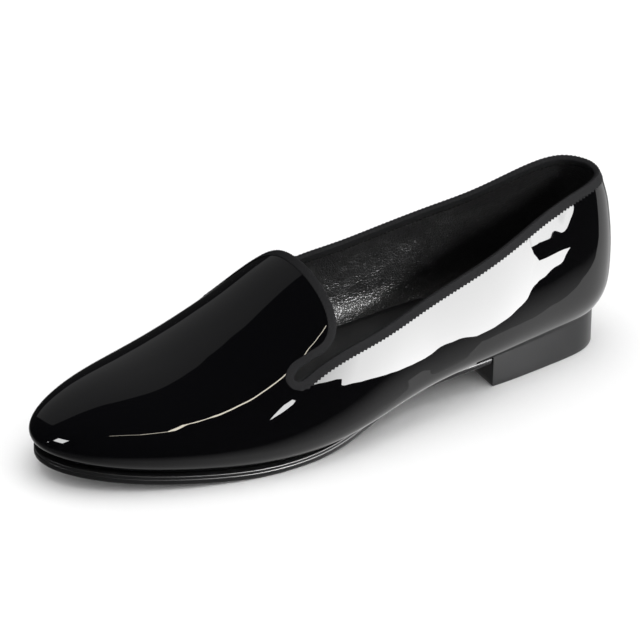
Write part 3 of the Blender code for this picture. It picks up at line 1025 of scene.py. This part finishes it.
def addSheet(name, look):
    # a bent glowing sheet, seen by gloss only
    material, tree, shader = newMaterial(name + "Light")
    setInputs(shader, {"Base Color": (0, 0, 0, 1), "Emission Color": (1, 1, 1, 1)})
    uv = addNode(tree, "ShaderNodeUVMap")
    split = addNode(tree, "ShaderNodeSeparateXYZ")
    tree.links.new(uv.outputs["UV"], split.inputs[0])
    glow = (look["radiance"] * look["dimmer"], look["radiance"])
    level = addRange(tree, split.outputs["X"], (0.0, studio["sheetFade"]), glow)
    tree.links.new(level, shader.inputs["Emission Strength"])
    table = np.array(look["rows"])
    across, up = studio["sheetGrid"]
    azimuths = np.linspace(table[0, 0], table[-1, 0], across + 1)
    low = np.interp(azimuths, table[:, 0], table[:, 1])
    high = np.interp(azimuths, table[:, 0], table[:, 2])
    shape = bmesh.new()
    shape.loops.layers.uv.verify()
    made = bmesh.ops.create_grid(shape, x_segments=across, y_segments=up, size=0.5, calc_uvs=True)
    for vert in made["verts"]:
        column = round((vert.co.x + 0.5) * across)
        elevation = low[column] + (high[column] - low[column]) * (vert.co.y + 0.5)
        vert.co = Vector(studio["centre"]) + direction(azimuths[column], elevation) * studio["sheetRadius"]
    sheet = newPiece(name, shape, (material,))
    for kind in ("camera", "diffuse", "shadow"):
        setattr(sheet, "visible_" + kind, False)


def addFill(name, look):
    # even light for the floor and the matt leather, not seen in the patent
    lamp = bpy.data.lights.new(name, "AREA")
    lamp.shape = "DISK"
    lamp.size = look["size"]
    lamp.energy = look["energy"]
    item = bpy.data.objects.new(name, lamp)
    item.location = look["location"]
    aim = Vector(studio["centre"]) - Vector(look["location"])
    item.rotation_euler = aim.to_track_quat("-Z", "Y").to_euler()
    item.visible_glossy = False
    item.visible_camera = False
    bpy.context.collection.objects.link(item)


def makeFloor():
    material, tree, shader = newMaterial("paleFloor")
    setInputs(shader, {
        "Base Color": floorLook["colour"],
        "Roughness": floorLook["roughness"],
        "Specular IOR Level": floorLook["shine"],
    })
    shape = bmesh.new()
    bmesh.ops.create_grid(shape, x_segments=1, y_segments=1, size=floorLook["size"] / 2)
    floor = newPiece("floor", shape, (material,))
    floor.visible_glossy = False


def makeWorld():
    # pale to the eye; for reflections a dark room with a pale ground
    world = bpy.data.worlds.new("studio")
    bpy.context.scene.world = world
    world.use_nodes = True
    tree = world.node_tree
    tree.nodes.clear()
    link = tree.links.new
    spot = addNode(tree, "ShaderNodeTexCoord")
    split = addNode(tree, "ShaderNodeSeparateXYZ")
    link(spot.outputs["Generated"], split.inputs[0])
    shade = addNode(tree, "ShaderNodeValToRGB")
    link(addRange(tree, split.outputs["Z"], (-1.0, 1.0), (0.0, 1.0)), shade.inputs["Fac"])
    stops = shade.color_ramp.elements
    stops[0].position, stops[1].position = room["horizon"]
    stops[0].color, stops[1].color = room["ground"], room["dark"]
    mirrored = addNode(tree, "ShaderNodeBackground")
    link(shade.outputs["Color"], mirrored.inputs["Color"])
    link(addRange(tree, split.outputs["X"], room["glowSpan"], room["glow"]), mirrored.inputs["Strength"])
    pale = addNode(tree, "ShaderNodeBackground", Color=room["pale"])
    path = addNode(tree, "ShaderNodeLightPath")
    mix = addNode(tree, "ShaderNodeMixShader")
    link(path.outputs["Is Glossy Ray"], mix.inputs[0])
    link(pale.outputs[0], mix.inputs[1])
    link(mirrored.outputs[0], mix.inputs[2])
    out = addNode(tree, "ShaderNodeOutputWorld")
    link(mix.outputs[0], out.inputs["Surface"])


makeFloor()
makeWorld()
for name, look in sheets.items():
    addSheet(name, look)
for row in panelRows:
    addPanel(*row)
for row in tubeRows:
    addTube(*row)
addFill("topFill", topFill)
bpy.context.scene.view_settings.view_transform = "Standard"

# the camera keeps the photograph's view: angles round the shoe and the frame's own shift
view = {
    "azimuth": 33.56,
    "elevation": 28.862,
    "roll": 2.946,
    "distance": 1.4031,
    "aim": (0.0954, 0.0015, 0.0250),
    "sensor": 36.0,
    "lens": 201.24,
    "shift": (-0.01336, 0.03366),
}


def addCamera():
    az, el, roll = (math.radians(view[k]) for k in ("azimuth", "elevation", "roll"))
    back = Vector((math.sin(az) * math.cos(el), math.cos(az) * math.cos(el), math.sin(el)))
    level = Vector((-math.cos(az), math.sin(az), 0.0))
    upright = back.cross(level)
    right = level * math.cos(roll) + upright * math.sin(roll)
    up = upright * math.cos(roll) - level * math.sin(roll)
    camera = bpy.data.objects.new("camera", bpy.data.cameras.new("camera"))
    camera.data.sensor_width = view["sensor"]
    camera.data.lens = view["lens"]
    camera.data.shift_x, camera.data.shift_y = view["shift"]
    place = Matrix((right, up, back)).transposed().to_4x4()
    place.translation = Vector(view["aim"]) + back * view["distance"]
    camera.matrix_world = place
    bpy.context.collection.objects.link(camera)
    bpy.context.scene.camera = camera


addCamera()
print("studio ready")
